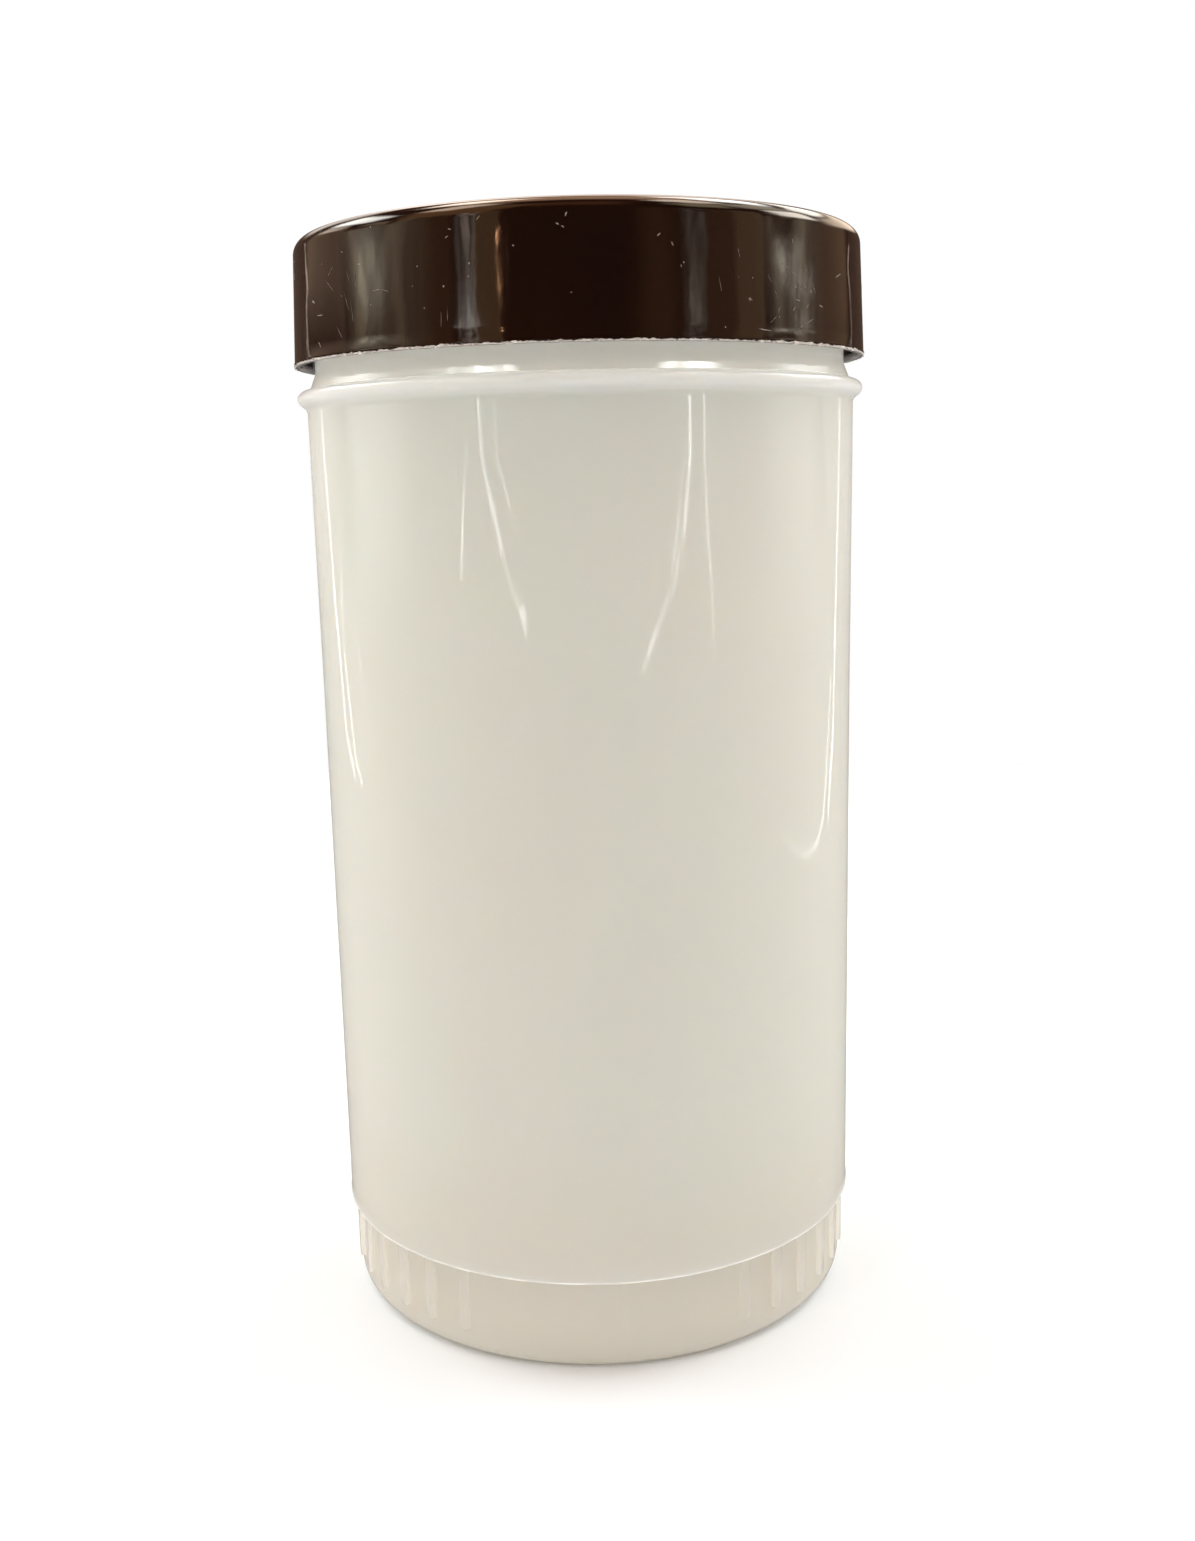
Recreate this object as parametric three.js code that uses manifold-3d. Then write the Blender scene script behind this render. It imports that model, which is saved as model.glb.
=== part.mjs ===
// A quart storage jar of ivory plastic, shut with a screw lid of dark brown plastic.
// Millimetres, +Z up. The origin is the middle of the base, on the surface that the jar stands on.
import * as THREE from 'three';
import { mergeVertices } from 'three/addons/utils/BufferGeometryUtils.js';
import Module from 'manifold-3d';

// Driving dimensions
const TOTAL_HEIGHT = 174.5;
const LID_RADIUS = 46.1;          // at the open end of the skirt
const LID_HEIGHT = 19.5;
const LID_DRAFT = 0.65;           // the skirt narrows this much towards the top
const LID_WALL = 1.5;
const LID_CEILING = 2;
const LID_TOP_EDGE = 2.4;         // radius of the rounded top edge
const LID_PANEL_RADIUS = 39.5;    // shallow panel in the lid's top
const LID_PANEL_DEPTH = 0.6;
const SEAT_GAP = 0.3;             // between the jar's mouth and the lid's ceiling

const NECK_RADIUS = 42.9;
const NECK_FLARE = 3.4;           // radius of the hollow curve where the neck begins to widen
const FLARE_SLOPE = 21;           // degrees from upright, of the straight part down to the bead
const FLARE_HEIGHT = 3.25;

const BEAD_RADIUS = 45.93;        // the ring round the shoulder
const BEAD_LEVEL = 150.15;        // height of its widest line
const BEAD_ABOVE = 1.3;
const BEAD_BELOW = 1.6;
const BEAD_SLOPE = 50;            // degrees between the bead's underside and the wall
const BEAD_HOLLOW = 1.2;          // radius of the hollow corner under the bead

const BODY_TOP_RADIUS = 44.45;
const BODY_FOOT_RADIUS = 43.97;
const STEP_LEVEL = 15.05;         // underside of the step above the base band
const STEP_EDGE = 0.35;           // radius of the step's lower edge

const BAND_RADIUS = 42.6;         // the recessed band below the step
const BASE_EDGE = 2.7;            // radius of the base's rounded edge
const BASE_PANEL_RADIUS = 33;     // raised panel inside the ring that the jar stands on
const BASE_PANEL_DEPTH = 1.2;

const RIBS_EACH_SIDE = 14;        // the band is bare in front and behind
const RIB_TURN = 0.75;            // degrees that the middle of the bare part is turned from straight in front
const RIB_FIRST = 31.5;           // degrees from there to the first rib, towards each side
const RIB_PITCH = 9;              // degrees from one rib to the next
const RIB_WIDTH = 2.3;
const RIB_PROUD = 0.6;
const RIB_FOOT = 3.9;             // height of the ribs' rounded lower ends

const ROUND_STEPS = 80;           // flat sides round the jar, two for each rib's pitch

const QUARTER = Math.PI / 2;

const wasm = await Module();
wasm.setup();

// Points of an elliptical arc in the profile plane, x outwards and y up
function arc(x, y, radiusX, radiusY, from, to, steps) {
  const clockwise = to < from;
  return new THREE.EllipseCurve(x, y, radiusX, radiusY, from, to, clockwise).getPoints(steps);
}

// The closed surface that a profile from axis to axis sweeps round Z
function revolve(profile) {
  return new THREE.LatheGeometry(profile, ROUND_STEPS).rotateX(QUARTER);
}

function solidFrom(geometry) {
  const bare = geometry.clone();
  bare.deleteAttribute('normal');
  bare.deleteAttribute('uv');
  const merged = mergeVertices(bare);
  const corners = merged.index.array;
  const kept = [];
  for (let i = 0; i < corners.length; i += 3) {
    const [a, b, c] = corners.slice(i, i + 3);
    // At the axis one triangle of each pair has shrunk to a line
    if (a !== b && b !== c && c !== a) kept.push(a, b, c);
  }
  return new wasm.Manifold(new wasm.Mesh({
    numProp: 3,
    vertProperties: new Float32Array(merged.attributes.position.array),
    triVerts: new Uint32Array(kept),
  }));
}

function geometryFrom(solid) {
  const mesh = solid.getMesh();
  const geometry = new THREE.BufferGeometry();
  geometry.setAttribute('position', new THREE.BufferAttribute(mesh.vertProperties, 3));
  geometry.setIndex(new THREE.BufferAttribute(mesh.triVerts, 1));
  return geometry;
}

// From the base panel out over the band, the step, the wall, the bead and the neck to the mouth
function jarProfile() {
  const mouth = TOTAL_HEIGHT - LID_CEILING - SEAT_GAP;
  const flareTop = BEAD_LEVEL + BEAD_ABOVE + FLARE_HEIGHT;
  const flareTurn = THREE.MathUtils.degToRad(FLARE_SLOPE);
  const straightHeight = FLARE_HEIGHT - NECK_FLARE * Math.sin(flareTurn);
  const crease = NECK_RADIUS + NECK_FLARE * (1 - Math.cos(flareTurn))
    + straightHeight * Math.tan(flareTurn);
  const beadDepth = BEAD_RADIUS - crease;
  const slope = THREE.MathUtils.degToRad(BEAD_SLOPE);
  const slopeRun = crease + beadDepth * Math.cos(slope)
    - BODY_TOP_RADIUS - BEAD_HOLLOW * (1 - Math.cos(slope));
  const hollowLevel = BEAD_LEVEL - (BEAD_BELOW + BEAD_HOLLOW) * Math.sin(slope)
    - slopeRun / Math.tan(slope);
  return [
    new THREE.Vector2(0, BASE_PANEL_DEPTH),
    new THREE.Vector2(BASE_PANEL_RADIUS, BASE_PANEL_DEPTH),
    new THREE.Vector2(BASE_PANEL_RADIUS + BASE_PANEL_DEPTH, 0),
    ...arc(BAND_RADIUS - BASE_EDGE, BASE_EDGE, BASE_EDGE, BASE_EDGE, -QUARTER, 0, 4),
    new THREE.Vector2(BAND_RADIUS, STEP_LEVEL),
    ...arc(BODY_FOOT_RADIUS - STEP_EDGE, STEP_LEVEL + STEP_EDGE, STEP_EDGE, STEP_EDGE, -QUARTER, 0, 2),
    ...arc(BODY_TOP_RADIUS + BEAD_HOLLOW, hollowLevel, BEAD_HOLLOW, BEAD_HOLLOW,
      2 * QUARTER, 2 * QUARTER - slope, 3),
    ...arc(crease, BEAD_LEVEL, beadDepth, BEAD_BELOW, -slope, 0, 3),
    ...arc(crease, BEAD_LEVEL, beadDepth, BEAD_ABOVE, 0, QUARTER, 4).slice(1),
    ...arc(NECK_RADIUS + NECK_FLARE, flareTop, NECK_FLARE, NECK_FLARE,
      2 * QUARTER + flareTurn, 2 * QUARTER, 3),
    new THREE.Vector2(NECK_RADIUS, mouth),
    new THREE.Vector2(0, mouth),
  ];
}

// A bar with a rounded lower end, half sunk in the band, its top end inside the step
function ribGeometry() {
  const halfWidth = RIB_WIDTH / 2;
  const length = STEP_LEVEL - RIB_FOOT;
  return new THREE.CapsuleGeometry(halfWidth, length, 3, 8)
    .translate(0, RIB_FOOT + halfWidth + length / 2, 0)
    .rotateX(QUARTER)
    .scale(1, RIB_PROUD / halfWidth, 1)
    .translate(0, -BAND_RADIUS, 0);
}

function jarGeometry() {
  let jar = solidFrom(revolve(jarProfile()));
  for (let i = 0; i < RIBS_EACH_SIDE; i++) {
    for (const side of [-1, 1]) {
      const turn = THREE.MathUtils.degToRad(RIB_TURN + side * (RIB_FIRST + i * RIB_PITCH));
      jar = jar.add(solidFrom(ribGeometry().rotateZ(turn)));
    }
  }
  return geometryFrom(jar);
}

// From the middle of the ceiling down inside the skirt, then up outside it and over the top
function lidProfile() {
  const foot = TOTAL_HEIGHT - LID_HEIGHT;
  const ceiling = TOTAL_HEIGHT - LID_CEILING;
  const topRadius = LID_RADIUS - LID_DRAFT;
  const footEdge = LID_WALL / 2;
  const panelLevel = TOTAL_HEIGHT - LID_PANEL_DEPTH;
  return [
    new THREE.Vector2(0, ceiling),
    new THREE.Vector2(topRadius - LID_WALL, ceiling),
    ...arc(LID_RADIUS - footEdge, foot + footEdge / 2, footEdge, footEdge / 2,
      -2 * QUARTER, 0, 4),
    ...arc(topRadius - LID_TOP_EDGE, TOTAL_HEIGHT - LID_TOP_EDGE, LID_TOP_EDGE, LID_TOP_EDGE,
      0, QUARTER, 4),
    new THREE.Vector2(LID_PANEL_RADIUS + LID_PANEL_DEPTH, TOTAL_HEIGHT),
    new THREE.Vector2(LID_PANEL_RADIUS, panelLevel),
    new THREE.Vector2(0, panelLevel),
  ];
}

function lidGeometry() {
  return geometryFrom(solidFrom(revolve(lidProfile())));
}

const ivoryPlastic = new THREE.MeshStandardMaterial({
  color: 0xd6d0c4,
  roughness: 0.3,
  metalness: 0,
});
const brownPlastic = new THREE.MeshStandardMaterial({
  color: 0x32201a,
  roughness: 0.2,
  metalness: 0,
});

const jar = new THREE.Mesh(jarGeometry(), ivoryPlastic);
jar.name = 'jar';

const lid = new THREE.Mesh(lidGeometry(), brownPlastic);
lid.name = 'lid';

const storageJar = new THREE.Group();
storageJar.add(jar, lid);

export default storageJar;
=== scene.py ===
import math
import random

import bpy
from mathutils import Matrix, Vector


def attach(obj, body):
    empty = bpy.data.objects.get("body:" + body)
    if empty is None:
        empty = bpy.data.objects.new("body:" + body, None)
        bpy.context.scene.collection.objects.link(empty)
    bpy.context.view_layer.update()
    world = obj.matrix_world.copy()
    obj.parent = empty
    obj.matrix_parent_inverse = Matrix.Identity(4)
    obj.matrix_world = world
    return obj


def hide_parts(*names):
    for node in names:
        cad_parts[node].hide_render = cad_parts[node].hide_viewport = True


# A quart storage jar of ivory plastic, shut with a screw lid of dark brown plastic.
# The CAD model is the frame. The jar and the lid are turned again here with their fine edges, the ribs,
# the marks of moulding and the wear.

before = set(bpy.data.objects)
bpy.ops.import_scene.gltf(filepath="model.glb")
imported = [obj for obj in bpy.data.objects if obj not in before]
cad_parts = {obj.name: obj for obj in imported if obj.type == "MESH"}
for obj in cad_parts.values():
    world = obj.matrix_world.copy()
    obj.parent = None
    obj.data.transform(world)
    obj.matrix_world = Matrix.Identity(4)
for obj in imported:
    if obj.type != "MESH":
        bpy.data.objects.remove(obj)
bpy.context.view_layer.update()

MM = 0.001

# Camera, placed where the photo was taken from
PHOTO_LONG_SIDE = 1541            # pixels
FOCAL_PIXELS = 1588.26
SENSOR = 36                       # millimetres
CAMERA_PLACE = (0, -0.26908, 0.13649)
CAMERA_PITCH = 0.1812             # radians, downwards
CAMERA_YAW = 0.0053
CAMERA_ROLL = -0.0229

# Jar, in millimetres
SIDES = 480                       # flat sides round a turned piece
GATE_RADIUS = 1.3                 # moulding mark in the middle of the underside and of the lid
GATE_DEPTH = 0.35
BASE_PANEL_RADIUS = 33            # raised panel inside the ring that the jar stands on
BASE_PANEL_DEPTH = 1.2
BASE_PANEL_EDGE = 0.4
BASE_EDGE = 2.7
BAND_RADIUS = 42.6                # the recessed band below the step
STEP_LEVEL = 15.05
STEP_HOLLOW = 0.8                 # radius of the hollow corner under the step
SEAM_PROUD = 0.13                 # the mould's seam line along the step's edge
WALL_FOOT_RADIUS = 43.97
WALL_TOP_RADIUS = 44.45
WALL_WAIST = ((44.1, 62), (44.2, 104), (44.43, 140))     # radius and level: the wall is slightly hollow
BEAD_RADIUS = 45.93               # the ring round the shoulder
BEAD_LEVEL = 150.15
BEAD_ABOVE = 1.3
BEAD_BELOW = 1.6
BEAD_SLOPE = 50                   # degrees between the bead's underside and the wall
BEAD_HOLLOW = 1.2                 # radius of the hollow corner under the bead
NECK_RADIUS = 42.9
NECK_FLARE = 3.4                  # radius of the hollow curve where the neck begins to widen
FLARE_SLOPE = 21                  # degrees from upright, of the straight part down to the bead
FLARE_HEIGHT = 3.25
MOUTH_LEVEL = 172.2
MOUTH_EDGE = 0.8

RIBS_EACH_SIDE = 14
RIB_TURN = 0.75                   # degrees that the middle of the bare part is turned from straight in front
RIB_FIRST = 31.5                  # degrees from there to the first rib, towards each side
RIB_PITCH = 9
RIB_COLUMNS = 4                   # flat sides that one rib takes
FRONT_BAR_COLUMNS = 2
RIB_FOOT = 3.9
RIB_CORNER = (0.85, 0.22)         # how far the foot's corner columns are rounded upwards
# How the bars are raised: in each step the face shrinks by the first number and rises by the second
RIB_STEPS = ((0.07, 0.30), (0.10, 0.22), (0.12, 0.08))
END_RIB_STEPS = ((0.07, 0.12), (0.10, 0.09), (0.12, 0.04))      # the ribs beside the bare parts are lower
FRONT_BAR_TURN = 4.5              # one low bar, in the middle of the bare front
FRONT_BAR_STEPS = ((0.12, 0.02), (0.14, 0.03), (0.14, 0.02))

# Lid, in millimetres
LID_TOP = 174.5
LID_FOOT = 155.0
LID_RADIUS = 46.1
LID_TOP_RADIUS = 45.45
LID_WALL = 1.5                    # thickness
LID_CEILING = 2
LID_TOP_EDGE = 2.4
LID_LIP = 0.09                    # the foot's lip stands this far out
LID_LIP_HEIGHT = 0.8
LID_PANEL_RADIUS = 39.5           # shallow panel in the lid's top
LID_PANEL_DEPTH = 0.6

# Wear on the lid: turn in degrees from straight in front, level and length in millimetres, and slant in
# degrees from upright
LID_DOTS = (
    (-39.6, 172.2, 0.30), (-47.9, 169.5, 0.30), (-55.3, 168.5, 0.22), (-29.0, 166.1, 0.30),
    (-23.8, 163.1, 0.37), (-48.2, 163.4, 0.22), (-39.9, 161.6, 0.22), (-59.8, 163.5, 0.37),
    (-18.8, 165.9, 0.37), (-19.0, 164.2, 0.30), (38.4, 158.6, 0.30), (26.3, 156.9, 0.30),
    (29.3, 163.7, 0.22), (32.3, 163.7, 0.22), (-1.7, 171.8, 0.30), (-10.9, 167.9, 0.30),
    (18.6, 165.4, 0.30), (-1.1, 161.5, 0.22), (-30.1, 163.5, 0.22), (-27.7, 160.4, 0.30),
)
LID_SCUFFS = (
    (-42.8, 167.4, 1.1, -84), (-56.6, 161.3, 2.1, -88), (-56.8, 157.1, 1.5, -42), (-22.4, 170.6, 0.6, -74),
    (-23.0, 169.6, 0.7, 61), (-17.0, 171.8, 0.9, 44), (-1.7, 171.7, 0.7, 24), (-3.2, 170.5, 0.5, -56),
    (-2.3, 170.1, 0.5, -56), (14.2, 169.0, 0.8, 48), (16.6, 167.8, 0.7, -23), (18.1, 164.9, 0.5, -14),
    (42.2, 159.8, 0.9, 49), (46.0, 160.3, 1.2, 41), (43.4, 161.1, 1.1, -79), (31.6, 160.8, 0.8, 13),
    (31.6, 160.8, 0.9, -75), (34.9, 156.7, 2.8, -84), (42.8, 163.0, 0.7, -38), (45.5, 163.2, 0.9, -46),
    (47.3, 162.5, 0.7, -17), (50.7, 160.6, 1.2, -73), (57.7, 165.4, 2.1, 69), (42.4, 169.2, 0.8, -13),
    (-59.3, 163.4, 1.0, -50),
)
LID_SCRATCHES = (
    (-52.0, 164.9, 3.8, -50), (-52.1, 167.1, 3.5, 53), (-38.5, 163.5, 1.8, 86), (-36.3, 163.3, 1.8, -72),
    (-24.4, 158.1, 4.1, 2), (-23.1, 158.9, 3.3, -1), (40.2, 165.7, 2.0, -66), (42.2, 164.9, 1.7, -60),
    (43.7, 163.9, 1.4, -39), (44.4, 162.3, 2.2, -9), (46.3, 165.3, 3.1, -42), (48.5, 162.8, 3.0, -28),
    (36.3, 163.7, 1.8, -29), (37.8, 161.6, 3.0, -29), (38.3, 159.5, 1.5, 24), (36.8, 158.1, 2.3, 51),
    (46.7, 158.3, 2.7, 69), (44.0, 157.4, 2.1, 64), (-43.9, 164.7, 4.5, -4), (-46.1, 165.8, 3.7, -17),
    (-44.9, 160.0, 6.4, -8), (25.6, 162.2, 3.4, -12), (29.5, 166.8, 2.2, -12), (-46.3, 161.7, 5.4, -22),
    (-48.8, 158.0, 3.7, -36),
)
# Chips in the lid's foot: from and to in degrees
LID_CHIPS = (
    (-63, -56), (-49.2, -41.7), (-31.3, -30.2), (-25.3, -22.3), (-18.4, -17.3), (-11.8, -11.1), (2.9, 3.7),
    (10.4, 11.8), (32.9, 35.9), (40.9, 42.8), (45.4, 47.2), (49.8, 51.9), (58, 66), (97, 101), (128, 131),
    (171, 176), (205, 207), (238, 244),
)

# Where the plastics change, as heights in metres if nothing else is said
BROWNER_TOP = 0.045                 # the jar is browner from here down
FOOT_PAINTED_GLOW_TOP = 0.017             # the foot's painted glow grows from here down
NECK_PAINTED_GLOW = (0.1477, 0.1515)      # the neck's painted glow comes in between these
SEAM_PAINTED_HIGHLIGHT = (0.01515, 0.0155)     # painted highlight along the seam line, from and to
SEAM_FADE = 0.00005
LIP_WEAR_TOP = 0.15575            # the lid's pale worn lip
LIP_WEAR_FADE = 0.00012
LIP_WEAR_RADIUS = 0.04605         # radius: the lip's outer side alone is worn

# On the back half of the lid, between these turns, the wear is scattered at random
BACK_START = 70
BACK_END = 290
BACK_DOTS = 24
BACK_CUTS = 16
BACK_SCRATCHES = 26

# Stage and lamps, with lengths in metres
SCREEN_RADIUS = 0.9               # of the upright screens round the jar
LIGHT_AIM = 0.1                   # height that the lamps face
FLOOR_RADIUS = 2.5
SHEEN_RADIUS = 1.35               # of the floor's sheen, up to its rim
SHEEN_RISE = 0.16                 # height over which the rim's sheen fades
STAGE_RADIUS = 0.5                # of the wall that the camera sees
STAGE_HEIGHT = 1.5
STAGE_GAP = 0.0005                # the sheen lies this far below the floor, the wall starts this far above it
STAGE_SIDES = 96
STRIP_SOFT = (0.2, 0)             # share of a strip's width, and of its length, over which it fades
STREAK_NOISE = (0.38, 0.68)       # range of the noise that a streaked lamp uses
STREAK_STRENGTH = (0.15, 2.6)     # its dimmest and its brightest part, as shares of its radiance


# Modelling

def arc(x, y, radius_x, radius_y, start, end, steps):
    """Points of an elliptical arc in the profile plane, x outwards and y up, angles in degrees."""
    points = []
    for i in range(steps + 1):
        turn = math.radians(start + (end - start) * i / steps)
        points.append((x + radius_x * math.cos(turn), y + radius_y * math.sin(turn)))
    return points


def turned(name, profile):
    """A closed piece turned round Z. The profile's (radius, height) points run from axis to axis."""
    bpy.ops.object.select_all(action="DESELECT")
    radius, height = profile[0]
    bpy.ops.mesh.primitive_circle_add(
        vertices=SIDES, radius=radius * MM, fill_type="TRIFAN", location=(0, 0, height * MM),
    )
    piece = bpy.context.object
    piece.name = name
    piece.data.name = name
    bpy.ops.object.transform_apply(location=True, rotation=True, scale=True)
    bpy.ops.object.mode_set(mode="EDIT")
    bpy.ops.mesh.select_mode(type="FACE")
    bpy.ops.mesh.select_all(action="SELECT")
    bpy.ops.mesh.region_to_loop()
    for next_radius, next_height in profile[1:]:
        rise = (next_height - height) * MM
        bpy.ops.mesh.extrude_region_move(TRANSFORM_OT_translate={"value": (0, 0, rise)})
        grow = next_radius / radius
        bpy.ops.transform.resize(value=(grow, grow, 1), center_override=(0, 0, next_height * MM))
        radius, height = next_radius, next_height
    bpy.ops.mesh.extrude_region_move(TRANSFORM_OT_translate={"value": (0, 0, 0)})
    bpy.ops.mesh.merge(type="CENTER")
    bpy.ops.mesh.select_all(action="SELECT")
    bpy.ops.mesh.normals_make_consistent(inside=False)
    bpy.ops.object.mode_set(mode="OBJECT")
    return piece


def select_only(piece):
    bpy.ops.object.select_all(action="DESELECT")
    piece.select_set(True)
    bpy.context.view_layer.objects.active = piece


def clear_selection(piece):
    for group in (piece.data.vertices, piece.data.edges, piece.data.polygons):
        group.foreach_set("select", [False] * len(group))


def azimuth(point):
    """Degrees from straight in front of the jar towards +X."""
    return math.degrees(math.atan2(point[0], -point[1]))


def smooth(piece, angle):
    select_only(piece)
    bpy.ops.object.shade_smooth_by_angle(angle=math.radians(angle))


def jar_profile():
    """From the moulding mark underneath, out over the band, the step, the wall, the bead and the neck."""
    bead_top = BEAD_LEVEL + BEAD_ABOVE
    flare_top = bead_top + FLARE_HEIGHT
    flare_turn = math.radians(FLARE_SLOPE)
    straight_height = FLARE_HEIGHT - NECK_FLARE * math.sin(flare_turn)
    crease = (NECK_RADIUS + NECK_FLARE * (1 - math.cos(flare_turn))
              + straight_height * math.tan(flare_turn))
    bead_depth = BEAD_RADIUS - crease
    slope = math.radians(BEAD_SLOPE)
    slope_run = (crease + bead_depth * math.cos(slope)
                 - WALL_TOP_RADIUS - BEAD_HOLLOW * (1 - math.cos(slope)))
    hollow_level = (BEAD_LEVEL - (BEAD_BELOW + BEAD_HOLLOW) * math.sin(slope)
                    - slope_run / math.tan(slope))
    panel = BASE_PANEL_DEPTH
    edge = BASE_PANEL_EDGE
    ring = BASE_PANEL_RADIUS + panel
    seam = WALL_FOOT_RADIUS + SEAM_PROUD
    return [
        (GATE_RADIUS, panel - GATE_DEPTH),
        (GATE_RADIUS + 0.25, panel - 0.3),
        (GATE_RADIUS + 0.4, panel),
        (GATE_RADIUS + 3, panel),
        *arc(BASE_PANEL_RADIUS - edge, panel - edge, edge, edge, 90, 45, 3),
        *arc(ring + 0.3, edge, edge, edge, 225, 270, 3),
        *arc(BAND_RADIUS - BASE_EDGE, BASE_EDGE, BASE_EDGE, BASE_EDGE, -90, 0, 14),
        (BAND_RADIUS, RIB_FOOT),
        (BAND_RADIUS, 9),
        *arc(BAND_RADIUS + STEP_HOLLOW, STEP_LEVEL - STEP_HOLLOW, STEP_HOLLOW, STEP_HOLLOW, 180, 90, 5),
        (WALL_FOOT_RADIUS - 0.12, STEP_LEVEL + 0.04),
        (seam - 0.06, STEP_LEVEL + 0.12),
        (seam, STEP_LEVEL + 0.22),
        (seam - 0.02, STEP_LEVEL + 0.34),
        (WALL_FOOT_RADIUS + 0.04, STEP_LEVEL + 0.45),
        (WALL_FOOT_RADIUS, STEP_LEVEL + 0.6),
        (WALL_FOOT_RADIUS, STEP_LEVEL + 2),
        *WALL_WAIST,
        *arc(WALL_TOP_RADIUS + BEAD_HOLLOW, hollow_level, BEAD_HOLLOW, BEAD_HOLLOW, 180, 180 - BEAD_SLOPE, 7),
        *arc(crease, BEAD_LEVEL, bead_depth, BEAD_BELOW, -BEAD_SLOPE, 0, 7),
        *arc(crease, BEAD_LEVEL, bead_depth, BEAD_ABOVE, 0, 84, 9)[1:],
        *((crease - rise * math.tan(flare_turn), bead_top + rise) for rise in (0.05, 0.2, 1.1)),
        *arc(NECK_RADIUS + NECK_FLARE, flare_top, NECK_FLARE, NECK_FLARE, 180 + FLARE_SLOPE, 180, 6),
        (NECK_RADIUS, MOUTH_LEVEL - MOUTH_EDGE),
        *arc(NECK_RADIUS - MOUTH_EDGE, MOUTH_LEVEL - MOUTH_EDGE, MOUTH_EDGE, MOUTH_EDGE, 0, 90, 3)[1:],
        (NECK_RADIUS - 3, MOUTH_LEVEL),
    ]


def raise_bars(jar, turns, columns, steps):
    """Lifts upright bars out of the band. Their feet are rounded first, and then the faces step outwards."""
    half_width = columns * 180 / SIDES

    def off_centre(point):
        place = azimuth(point)
        return min(abs((place - turn + 180) % 360 - 180) for turn in turns)

    column = 360 / SIDES
    feet = {}
    for vertex in jar.data.vertices:
        if abs(vertex.co.z - RIB_FOOT * MM) < 0.01 * MM:
            feet[vertex.index] = off_centre(vertex.co)
    for rank, lift in enumerate(RIB_CORNER):
        side = half_width - rank * column
        clear_selection(jar)
        for index, away in feet.items():
            jar.data.vertices[index].select = abs(away - side) < column / 4
        bpy.ops.object.mode_set(mode="EDIT")
        bpy.ops.mesh.select_mode(type="VERT")
        bpy.ops.transform.translate(value=(0, 0, lift * MM))
        bpy.ops.object.mode_set(mode="OBJECT")
    clear_selection(jar)
    for face in jar.data.polygons:
        middle = face.center
        in_band = RIB_FOOT < middle.z / MM < STEP_LEVEL - 0.1
        outside = BAND_RADIUS * 0.99 < middle.xy.length / MM < BAND_RADIUS + STEP_HOLLOW
        face.select = in_band and outside and off_centre(middle) < half_width
    bpy.ops.object.mode_set(mode="EDIT")
    bpy.ops.mesh.select_mode(type="FACE")
    for thickness, rise in steps:
        bpy.ops.mesh.inset(thickness=thickness * MM, depth=0, use_even_offset=True)
        grow = 1 + rise / BAND_RADIUS
        bpy.ops.transform.resize(value=(grow, grow, 1), center_override=(0, 0, 0))
    bpy.ops.object.mode_set(mode="OBJECT")


def make_jar():
    jar = turned("jar_body", jar_profile())
    select_only(jar)
    last = RIBS_EACH_SIDE - 1
    ribs = [RIB_TURN + side * (RIB_FIRST + i * RIB_PITCH) for side in (-1, 1) for i in range(1, last)]
    end_ribs = [RIB_TURN + side * (RIB_FIRST + i * RIB_PITCH) for side in (-1, 1) for i in (0, last)]
    raise_bars(jar, ribs, RIB_COLUMNS, RIB_STEPS)
    raise_bars(jar, end_ribs, RIB_COLUMNS, END_RIB_STEPS)
    raise_bars(jar, [FRONT_BAR_TURN], FRONT_BAR_COLUMNS, FRONT_BAR_STEPS)
    smooth(jar, 50)
    return jar


def lid_radius(level):
    """Radius of the lid's wall, which leans in evenly from the foot to the rounded top edge."""
    share = (level - LID_FOOT) / (LID_TOP - LID_TOP_EDGE - LID_FOOT)
    return LID_RADIUS + (LID_TOP_RADIUS - LID_RADIUS) * share


def lid_profile():
    """From the middle of the ceiling down inside the skirt, then up outside it and over the top."""
    ceiling = LID_TOP - LID_CEILING
    inside = LID_TOP_RADIUS - LID_WALL
    lip = LID_RADIUS + LID_LIP
    panel = LID_TOP - LID_PANEL_DEPTH
    return [
        (GATE_RADIUS, ceiling),
        (inside - 1, ceiling),
        *arc(inside - 0.6, ceiling - 0.6, 0.6, 0.6, 90, 0, 4),
        (LID_RADIUS - LID_WALL - 0.05, LID_FOOT + 1),
        (LID_RADIUS - LID_WALL + 0.05, LID_FOOT + 0.35),
        (LID_RADIUS - LID_WALL + 0.3, LID_FOOT + 0.05),
        (lip - 0.7, LID_FOOT),
        (lip - 0.25, LID_FOOT + 0.03),
        (lip - 0.05, LID_FOOT + 0.15),
        (lip, LID_FOOT + 0.35),
        (lip - 0.03, LID_FOOT + 0.6),
        (LID_RADIUS + 0.02, LID_FOOT + LID_LIP_HEIGHT * 0.7),
        (lid_radius(LID_FOOT + LID_LIP_HEIGHT), LID_FOOT + LID_LIP_HEIGHT),
        *((lid_radius(level), level) for level in (157.5, 160, 163, 166, 169)),
        *arc(LID_TOP_RADIUS - LID_TOP_EDGE, LID_TOP - LID_TOP_EDGE, LID_TOP_EDGE, LID_TOP_EDGE, 0, 90, 12),
        (LID_PANEL_RADIUS + 1.2, LID_TOP),
        *arc(LID_PANEL_RADIUS + 0.7, LID_TOP - 0.3, 0.3, 0.3, 90, 150, 3),
        *arc(LID_PANEL_RADIUS - 0.2, panel + 0.3, 0.3, 0.3, -30, -90, 3),
        (LID_PANEL_RADIUS - 1, panel),
        (GATE_RADIUS + 0.7, panel),
        (GATE_RADIUS + 0.3, panel),
        (GATE_RADIUS, panel - 0.1),
    ]


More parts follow.
